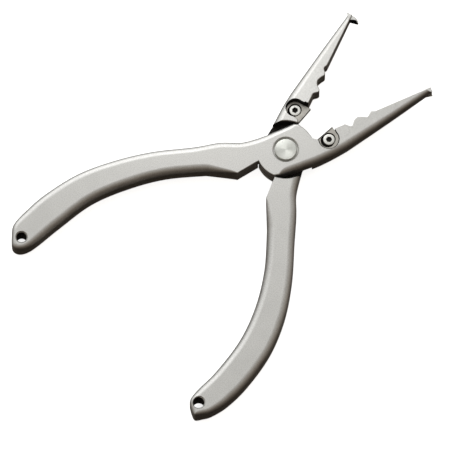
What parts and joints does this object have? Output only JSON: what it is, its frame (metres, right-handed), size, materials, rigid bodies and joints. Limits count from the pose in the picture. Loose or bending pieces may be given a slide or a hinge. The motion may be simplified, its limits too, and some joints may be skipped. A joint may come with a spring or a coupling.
{
  "type": "fishing pliers",
  "caption": "Spring-opening fishing pliers with toothed split-ring jaws, side cutters set in the jaws and a lanyard hole in each handle.",
  "frame": {"origin": "on the pivot axis, at the back face that the pliers lie on", "axes": "+Z along the pivot axis towards the smooth front face, +Y along the middle of the pliers towards the jaws, +X towards the front lever's jaw"},
  "size_m": [0.1215, 0.1762, 0.01],
  "materials": {
    "lever_aluminium": "bead blasted, satin",
    "pivot_steel": "turned, satin",
    "screw_steel": "stainless, satin",
    "cutter_steel": "hardened and ground",
    "spring_steel": "drawn wire",
    "bush_bronze": "sintered, oiled",
    "washer_polymer": "matte"
  },
  "bodies": {
    "front_lever_body": {"front_lever": "lever_aluminium", "front_cutter": "cutter_steel", "front_cutter_screw": "screw_steel", "front_cutter_insert": "screw_steel", "pivot_barrel": "pivot_steel", "pivot_screw": "pivot_steel", "front_bush": "bush_bronze", "thrust_washer": "washer_polymer", "disc_spring": "spring_steel", "return_spring": "spring_steel"},
    "rear_lever_body": {"rear_lever": "lever_aluminium", "rear_cutter": "cutter_steel", "rear_cutter_screw": "screw_steel", "rear_cutter_insert": "screw_steel", "rear_bush": "bush_bronze"}
  },
  "joints": [
    {"name": "jaw_pivot", "type": "hinge", "parent": "front_lever_body", "child": "rear_lever_body", "pos_m": [0, 0, 0], "axis": [0, 0, 1], "range_deg": [-40, 0], "stiffness_Nm_per_rad": 0.02, "deforming": ["return_spring"]}
  ]
}
